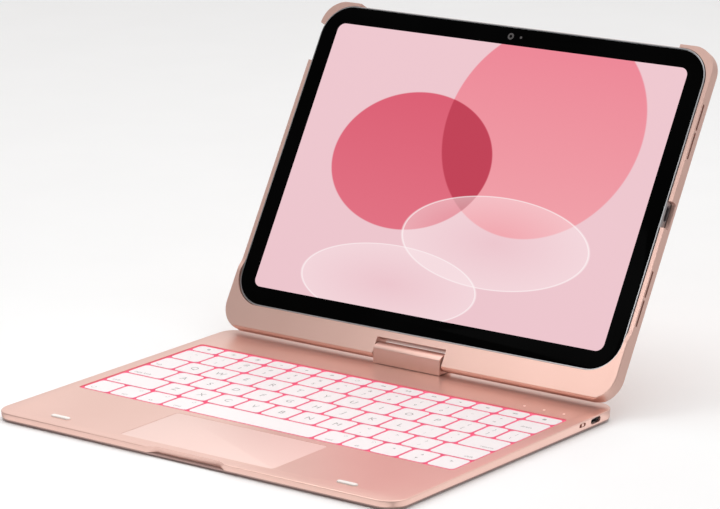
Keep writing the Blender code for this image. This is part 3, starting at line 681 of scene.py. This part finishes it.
def function_mark(mesh, number, x, y, z):
    """Plain marks for the top row: dots in rings, bars, arrows and a speaker."""
    triangle = ((-0.8, -0.8), (0.8, 0.0), (-0.8, 0.8))
    flipped = ((0.8, 0.8), (-0.8, 0.0), (0.8, -0.8))
    bar = ((-0.9, -0.2), (0.9, -0.2), (0.9, 0.2), (-0.9, 0.2))
    post = ((-0.2, -0.8), (0.2, -0.8), (0.2, 0.8), (-0.2, 0.8))
    if number in (1, 2):
        add_mark(mesh, circle(0.4 + 0.2 * number, 12), x, y, z)
        ring_mark(mesh, 0.9 + 0.2 * number, x, y, z)
    elif number in (3, 4, 5):
        for i in range(number - 2):
            add_mark(mesh, bar, x, y - 0.7 + 0.7 * i, z)
    elif number == 6:
        ring_mark(mesh, 1.1, x, y, z)
    elif number == 7:
        add_mark(mesh, flipped, x - 0.6, y, z)
        add_mark(mesh, flipped, x + 0.9, y, z)
    elif number == 8:
        add_mark(mesh, triangle, x - 0.8, y, z)
        add_mark(mesh, post, x + 0.5, y, z)
        add_mark(mesh, post, x + 1.2, y, z)
    elif number == 9:
        add_mark(mesh, triangle, x - 0.9, y, z)
        add_mark(mesh, triangle, x + 0.6, y, z)
    else:
        speaker = ((-1.2, -0.4), (-0.5, -0.4), (0.2, -1.0), (0.2, 1.0), (-0.5, 0.4), (-1.2, 0.4))
        add_mark(mesh, speaker, x, y, z)
        for i in range(number - 10):
            add_mark(mesh, post, x + 0.8 + 0.7 * i, y, z)


NUMBER_PAIRS = ("!1", "@2", "#3", "$4", "%5", "^6", "&7", "*8", "(9", ")0", "_-", "+=")
PAIRS = {f"number_{i}": pair for i, pair in enumerate(NUMBER_PAIRS, 1)}
PAIRS.update(grave="~`", semicolon=":;", quote="\"'", comma="<,", period=">.", slash="?/")
PAIRS.update(bracket_left="{[", bracket_right="}]", backslash="|\\")
LEFT_WORDS = {"tab": "tab", "caps": "caps lock", "shift_left": "shift"}
RIGHT_WORDS = {"enter": "return", "shift_right": "shift"}
LOW_WORDS = {
    "control": "ctrl", "option_left": "alt", "command_left": "cmd", "backspace": "delete",
    "command_right": "cmd", "option_right": "alt",
}


def add_legend(mesh, name, rect, top):
    """The legend of one key."""
    x0, x1, y0, y1 = rect
    x, y = (x0 + x1) / 2, (y0 + y1) / 2
    z = top - 0.05
    if len(name) == 1:
        add_text(mesh, name.upper(), 6.0, x, y, z)
    elif name in PAIRS:
        add_text(mesh, PAIRS[name][0], 3.6, x, y + 3.3, z)
        add_text(mesh, PAIRS[name][1], 3.6, x, y - 3.0, z)
    elif name in LEFT_WORDS:
        add_text(mesh, LEFT_WORDS[name], 3.0, x0 + 2.6, y0 + 3.4, z, "LEFT")
    elif name in RIGHT_WORDS:
        add_text(mesh, RIGHT_WORDS[name], 3.0, x1 - 2.6, y0 + 3.4, z, "RIGHT")
    elif name in LOW_WORDS:
        low = y - 1.0 if name == "backspace" else y0 + 3.4
        add_text(mesh, LOW_WORDS[name], 2.7, x, low, z)
        if name != "backspace":
            ring_mark(mesh, 0.9, x + 3.5, y1 - 3.6, z)
    elif name.startswith("function_"):
        function_mark(mesh, int(name[9:]), x, y + 0.6, z)
    elif name == "globe":
        ring_mark(mesh, 1.3, x0 + 4.2, y0 + 4.2, z)
    elif name.startswith("page"):
        turn = {"page_left": pi, "page_middle": pi / 2, "page_right": 0.0}[name]
        arrow = [(1.1 * cos(turn + a), 1.1 * sin(turn + a)) for a in (0.0, 2.3, -2.3)]
        add_mark(mesh, arrow, x, y + 2.6, z)
        if name == "page_middle":
            add_mark(mesh, [(-a, -b) for a, b in arrow], x, y - 3.2, z)
    elif name in ("home", "lock"):
        add_mark(mesh, rounded_rect(-1.0, 1.0, -1.0, 1.0, 0.4, 3), x, y + 0.6, z)


def build_keys():
    """One piece for each CAD key node: caps with the plastic, legends with the print."""
    groups = {}
    for cell in key_cells():
        groups.setdefault(key_bank(*cell), []).append(cell)
    for node, cells in groups.items():
        low, high = local_box(node, DECK)
        mesh = bmesh.new()
        for name, _, rect in cells:
            add_cap(mesh, rect, low.z, high.z)
            add_legend(mesh, name, rect, high.z)
        caps = new_object(f"caps_{node}", mesh, DECK)
        finish_piece(caps, node, [CAP, LEGEND], [node])


# ---------------------------------------------------------------- hinge

BLOCK_SHOULDER = 1.75
BLOCK_ROUND = 0.35


def build_hinge():
    """The block with straight faces and a low round top, softly edged."""
    low, high = local_box("hinge_block", DECK)
    axis = (DECK.inverted() @ Vector(JOINTS["lid_tilt"]["pos_m"])) / MM
    full = (high.y - low.y) / 2

    def profile(inset, steps=24):
        half = full - inset
        shoulder = axis.z + BLOCK_SHOULDER
        points = [(-half, low.z + inset), (half, low.z + inset)]
        for i in range(steps + 1):
            angle = pi * i / steps
            points.append((axis.y + half * cos(angle), shoulder + (high.z - inset - shoulder) * sin(angle)))
        return points

    rings = []
    turns = (0, pi / 6, pi / 3, pi / 2)
    for end, sign, angles in ((low.x, 1, turns), (high.x, -1, turns[::-1])):
        for angle in angles:
            side = profile(BLOCK_ROUND - BLOCK_ROUND * sin(angle))
            rings.append((side, end + sign * BLOCK_ROUND * (1 - cos(angle))))
    block = loft("hinge_barrel_block", rings, DECK, along_x=True)
    bore_low, bore_high = local_box("friction_sleeve", DECK)
    radius = (bore_high.z - bore_low.z) / 2 + 0.1
    bore = slab("cut_barrel", circle(radius, 32, axis.y, axis.z), low.x - 2, high.x + 2, DECK, along_x=True)
    _, post_high = local_box("swivel_post", DECK)
    socket = slab("cut_socket", circle(POST_HOLE_RADIUS, 32), -2.0, post_high.z + 0.3, DECK)
    carve(block, [bore, socket])
    finish_piece(block, "hinge", [ROSE_LID], ["hinge_block"])


# ---------------------------------------------------------------- lid

LID_LOW, LID_HIGH = local_box("lid_tray", LID)
LID_TOP_CORNER = 14.0
LID_BOTTOM_CORNER = 15.0
CHIN_RADIUS = 5.0
RAIL_FRONT_Z = 1.9
RAMP_LOW_Y = 27.0
RAMP_HIGH_Y = 36.0
RAIL_CUT_Z = -2.8
BACK_ROUND = 1.4
BACK_INSET = 1.3
FRONT_EDGE = 0.4
FLOOR_THICKNESS = 0.9
POCKET_CORNER = 18.0
NOTCH_HALF_X = 22.4
NOTCH_TOP_Y = 6.0
BORE_SPAN = (21.0, 32.3)
SLIT_STARTS = (-62.1, -46.1, 30.6, 46.6)  # measured from the tablet's middle
SLIT_LENGTH = 14.8
BUTTON_GAP = (155.0, 177.8)
TOP_GAP = (-103.7, 103.6)
PORT_GAP = (91.6, 106.2)


def lid_outline(inset, steps=16):
    """The lid's plan, with round corners at the top and beside the chin."""
    x = LID_HIGH.x - inset
    points = []
    for sx, edge, way, radius, start in (
        (1, LID_HIGH.y - inset, -1, LID_TOP_CORNER - inset, 0.0),
        (-1, LID_HIGH.y - inset, -1, LID_TOP_CORNER - inset, 0.5 * pi),
        (-1, inset - CHIN_RADIUS - 0.2, 1, LID_BOTTOM_CORNER - inset, pi),
        (1, inset - CHIN_RADIUS - 0.2, 1, LID_BOTTOM_CORNER - inset, 1.5 * pi),
    ):
        for i in range(steps + 1):
            angle = start + 0.5 * pi * i / steps
            middle_y = edge + way * radius
            points.append((sx * (x - radius) + radius * cos(angle), middle_y + radius * sin(angle)))
    return points


def chin_cutter(steps=48):
    """What lies outside the round underside of the chin."""
    outline = [(0, -12), (0, LID_LOW.z)]
    for i in range(1, steps):
        angle = 1.5 * pi - pi * i / steps
        depth = CHIN_RADIUS if angle < pi else -LID_LOW.z
        outline.append((CHIN_RADIUS * cos(angle), depth * sin(angle)))
    outline += [(0, CHIN_RADIUS), (0, 12), (-16, 12), (-16, -12)]
    return slab("cut_chin", outline, -140, 140, LID, along_x=True)


def rail_cutter(steps=12):
    """What lies above the rim: it slopes smoothly from the chin's front down to the rails' front."""
    outline = [(RAMP_LOW_Y, 14.0), (RAMP_LOW_Y, LID_HIGH.z)]
    for i in range(1, steps + 1):
        part = 0.5 - 0.5 * cos(pi * i / steps)
        y = RAMP_LOW_Y + (RAMP_HIGH_Y - RAMP_LOW_Y) * i / steps
        outline.append((y, LID_HIGH.z + (RAIL_FRONT_Z - LID_HIGH.z) * part))
    outline += [(200.0, RAIL_FRONT_Z), (200.0, 14.0)]
    return slab("cut_rail_height", outline, -140, 140, LID, along_x=True)


def build_lid():
    """The tray: softly rounded back, rails with their gaps and slits, and the chin with its notch."""
    rings = []
    for i in range(7):
        angle = 0.5 * pi * i / 6
        rings.append((lid_outline(BACK_INSET * (1 - sin(angle))), LID_LOW.z + BACK_ROUND * (1 - cos(angle))))
    rings += [(lid_outline(0.0), LID_HIGH.z - FRONT_EDGE), (lid_outline(FRONT_EDGE), LID_HIGH.z)]
    tray = loft("lid_shell", rings, LID)
    low, high = local_box("tablet_shell", LID)
    middle = (low.y + high.y) / 2
    room = inset_rect(low, high, -0.35, POCKET_CORNER, 16)
    pocket = slab("cut_pocket", room, LID_LOW.z + FLOOR_THICKNESS, 10, LID)
    notch = box("cut_notch", (-NOTCH_HALF_X, -12, -9), (NOTCH_HALF_X, NOTCH_TOP_Y, 9), LID)
    tools = [pocket, chin_cutter(), rail_cutter(), notch]
    for side in (-1, 1):
        span = sorted(side * x for x in BORE_SPAN)
        tools.append(slab(f"cut_bore_{side + 1}", circle(1.7, 24), *span, LID, along_x=True))
        for number, start in enumerate(SLIT_STARTS):
            span = sorted((side * 123.0, side * 130.0))
            outline = rounded_rect(middle + start, middle + start + SLIT_LENGTH, -0.8, 0.7, 0.73, 6)
            tools.append(slab(f"cut_slit_{side + 1}_{number}", outline, *span, LID, along_x=True))
    gap_low = RAIL_CUT_Z - 1.0
    tools.append(box("cut_button", (-130, BUTTON_GAP[0], gap_low), (-120, BUTTON_GAP[1], 8), LID))
    tools.append(box("cut_top", (TOP_GAP[0], 184.0, gap_low), (TOP_GAP[1], 197, 8), LID))
    gap = rounded_rect(*PORT_GAP, RAIL_CUT_Z, 12.0, 1.8, 6)
    tools.append(slab("cut_port_gap", gap, 120, 130, LID, along_x=True))
    window = rounded_rect(-119.0, -100.0, middle + 66.2, middle + 85.2, 4.0, 8)
    tools.append(slab("cut_window", window, -9, -3.0, LID))
    carve(tray, tools)
    soften(tray, 0.25)
    finish_piece(tray, "lid", [ROSE_LID], ["lid_tray"])


# ---------------------------------------------------------------- tablet

GLASS_CORNER = 17.1
SCREEN_CORNER = 4.5
EYE_RADIUS = 1.9
PUPIL_RADIUS = 0.9
SENSOR_RADIUS = 0.75
SENSOR_X = 6.6


def build_tablet():
    """Black glass with a rounded rim, the lit picture, and the front camera with its sensor."""
    low, high = local_box("tablet_glass", TABLET)
    rings = [(inset_rect(low, high, 0.0, GLASS_CORNER, 16), low.z - 0.25)]
    for inset, height in edge_round(0.35, 4):
        rings.append((inset_rect(low, high, inset, GLASS_CORNER, 16), height))
    glass = loft("cover_glass", rings, TABLET)
    screen_low, screen_high = local_box("display_panel", TABLET)
    window = inset_rect(screen_low, screen_high, -0.02, SCREEN_CORNER, 12)
    carve(glass, [slab("cut_screen", window, -3, 3, TABLET)])
    finish_piece(glass, "tablet", [GLASS], ["tablet_glass"])
    picture = inset_rect(screen_low, screen_high, 0, SCREEN_CORNER, 12)
    panel = slab("lit_screen", picture, low.z, -0.02, TABLET)
    finish_piece(panel, "tablet", [SCREEN], ["display_panel"])
    mesh = bmesh.new()
    y = (high.y + screen_high.y) / 2
    for outline, bottom, top, slot in (
        (circle(EYE_RADIUS, 32, 0, y), -0.02, 0.012, 0),
        (circle(PUPIL_RADIUS, 32, 0, y), -0.01, 0.016, 1),
        (circle(SENSOR_RADIUS, 24, SENSOR_X, y), -0.02, 0.012, 0),
    ):
        add_loft(mesh, ((outline, bottom), (outline, top)), slot=slot)
    eye = new_object("front_camera_ring", mesh, TABLET)
    finish_piece(eye, "tablet", [LENS_GREY, GLASS])


# ---------------------------------------------------------------- carried nodes

def paint_nodes(material, *names):
    """Give CAD nodes that stay in view a better material."""
    for name in names:
        node = frame["nodes"][name]
        for slot in node.material_slots:
            slot.material = material


def paint_carried():
    """Materials for the CAD nodes that no piece replaces."""
    paint_nodes(ROSE_DARK, "bottom_cover")
    paint_nodes(RUBBER, "foot_front_left", "foot_front_right", "foot_rear_left", "foot_rear_right")
    paint_nodes(STEEL, "key_plate", "swivel_post", "tilt_shaft", "trackpad_switch")
    paint_nodes(DARK_STEEL, "friction_sleeve")
    paint_nodes(BRASS, "swivel_bushing")
    paint_nodes(POUCH, "battery_left", "battery_right", "tablet_core")
    paint_nodes(BOARD, "circuit_board")
    paint_nodes(STEEL, "charge_port")
    paint_nodes(FELT, "lid_lining")
    paint_nodes(SILVER, "tablet_shell")
    paint_nodes(ROSE, "power_slider")


# ---------------------------------------------------------------- stage, light and camera

FLOOR_HALF = 6.0


def build_stage():
    """A plain pale floor, left out of the metal's reflections."""
    mesh = bmesh.new()
    corners = ((-1, -1, 0), (1, -1, 0), (1, 1, 0), (-1, 1, 0))
    mesh.faces.new([mesh.verts.new(Vector(corner) * FLOOR_HALF) for corner in corners])
    floor = new_object("studio_floor", mesh, Matrix.Identity(4))
    greys = ((0.965, 0.965, 0.965), (0.955, 0.955, 0.955))
    floor.data.materials.append(Shader("floor_paint").surface(greys, (0.7, 0.8), 50.0, (0.0, 0.0)))
    floor.visible_glossy = False


def area_light(name, place, size, power):
    """A soft rectangular light that faces straight down."""
    data = bpy.data.lights.new(name, "AREA")
    data.shape = "RECTANGLE"
    data.size, data.size_y = size
    data.energy = power
    light = bpy.data.objects.new(name, data)
    bpy.context.scene.collection.objects.link(light)
    light.location = place
    return light


def aimed_light(name, place, target, size, power):
    """A soft rectangular light that faces a point."""
    light = area_light(name, place, size, power)
    light.rotation_euler = (Vector(target) - Vector(place)).to_track_quat("-Z", "Y").to_euler()
    return light


# Brightness of the surroundings against height, from straight below (0) to straight above (1)
WORLD_BAND = ((0.0, 0.60), (0.42, 0.62), (0.49, 0.30), (0.545, 0.40), (0.62, 1.0), (1.0, 1.0))
WORLD_FRONT = 0.28  # how bright the front half above the horizon is, against the rear half


def build_world():
    """Soft surroundings: bright behind and above, dimmer in front and below."""
    world = bpy.data.worlds.new("studio")
    bpy.context.scene.world = world
    world.use_nodes = True
    tree = world.node_tree
    coords = tree.nodes.new("ShaderNodeTexCoord")
    separate = tree.nodes.new("ShaderNodeSeparateXYZ")
    tree.links.new(coords.outputs["Generated"], separate.inputs["Vector"])
    height = tree.nodes.new("ShaderNodeMapRange")
    height.inputs["From Min"].default_value = -1.0
    tree.links.new(separate.outputs["Z"], height.inputs["Value"])
    band = tree.nodes.new("ShaderNodeValToRGB")
    band.color_ramp.interpolation = "EASE"
    elements = band.color_ramp.elements
    for position, _ in WORLD_BAND[2:]:
        elements.new(position)
    for element, (position, level) in zip(elements, WORLD_BAND):
        element.position = position
        element.color = (level, level, level, 1.0)
    tree.links.new(height.outputs["Result"], band.inputs["Fac"])
    front = tree.nodes.new("ShaderNodeMapRange")
    front.interpolation_type = "SMOOTHSTEP"
    front.inputs["From Min"].default_value = -0.75
    front.inputs["From Max"].default_value = 0.35
    front.inputs["To Min"].default_value = WORLD_FRONT
    front.inputs["To Max"].default_value = 1.0
    tree.links.new(separate.outputs["Y"], front.inputs["Value"])
    above = tree.nodes.new("ShaderNodeMath")
    above.operation = "GREATER_THAN"
    above.inputs[1].default_value = 0.0
    tree.links.new(separate.outputs["Z"], above.inputs[0])
    choose = tree.nodes.new("ShaderNodeMix")
    choose.inputs["A"].default_value = 1.0
    tree.links.new(above.outputs["Value"], choose.inputs["Factor"])
    tree.links.new(front.outputs["Result"], choose.inputs["B"])
    strength = tree.nodes.new("ShaderNodeMath")
    strength.operation = "MULTIPLY"
    tree.links.new(band.outputs["Color"], strength.inputs[0])
    tree.links.new(choose.outputs["Result"], strength.inputs[1])
    tree.links.new(strength.outputs["Value"], tree.nodes["Background"].inputs["Strength"])
    tree.nodes["Background"].inputs["Color"].default_value = (1.0, 0.99, 0.985, 1.0)


DECK_DEPTH = 0.197  # length of the base from front to rear, in metres
BOUNCE = 0.10  # width of the two upward strips beside the base, in metres


def build_light():
    """Boxes at the front left, near the chin and overhead, and the table's bounce on the base's walls."""
    build_world()
    aimed_light("front_box", (-0.25, -0.62, 0.72), (0.10, 0.04, 0.03), (0.60, 0.50), 0.35)
    near = aimed_light("near_box", (-0.10, -0.235, 0.29), (0.12, 0.03, 0.03), (0.16, 0.16), 0.22)
    near.visible_camera = False
    aimed_light("top_box", (0.0, 0.15, 1.6), (0, 0, 0), (1.6, 1.6), 9.0)
    low, high = CAD_BOUNDS
    middle_y = low[1] + DECK_DEPTH / 2
    strips = (
        ("front_bounce", (0.0, low[1] - BOUNCE / 2, 0.001), (high[0] - low[0], BOUNCE), 0.040),
        ("side_bounce", (high[0] + BOUNCE / 2, middle_y, 0.001), (BOUNCE, DECK_DEPTH), 0.030),
    )
    for name, place, size, power in strips:
        strip = area_light(name, place, size, power)
        strip.rotation_euler = (pi, 0, 0)
        strip.visible_camera = False


CAMERA_AZIMUTH = radians(36.03)
CAMERA_ELEVATION = radians(13.733)
CAMERA_ROLL = radians(0.454)
CAMERA_TARGET = Vector(JOINTS["swivel"]["pos_m"]) + Vector((-0.001241, -0.045979, 0.070654))
CAMERA_DISTANCE = 1.697515
CAMERA_LENS = 164.0


def build_camera():
    """The viewpoint: a long lens, front right, a little above the object."""
    back = Vector((
        sin(CAMERA_AZIMUTH) * cos(CAMERA_ELEVATION),
        -cos(CAMERA_AZIMUTH) * cos(CAMERA_ELEVATION),
        sin(CAMERA_ELEVATION),
    ))
    data = bpy.data.cameras.new("view")
    data.sensor_width = 36.0
    data.lens = CAMERA_LENS
    camera = bpy.data.objects.new("view", data)
    bpy.context.scene.collection.objects.link(camera)
    rotation = (-back).to_track_quat("-Z", "Y").to_matrix().to_4x4()
    roll = Matrix.Rotation(CAMERA_ROLL, 4, "Z")
    camera.matrix_world = Matrix.Translation(CAMERA_TARGET + back * CAMERA_DISTANCE) @ rotation @ roll
    data.clip_start = 0.05
    data.clip_end = 50.0
    bpy.context.scene.camera = camera


build_camera()
build_deck()
build_trackpad()
build_glow_tray()
build_lamps()
build_bumpers()
build_keys()
build_hinge()
build_lid()
build_tablet()
paint_carried()
build_stage()
build_light()
bpy.context.scene.view_settings.view_transform = "Standard"
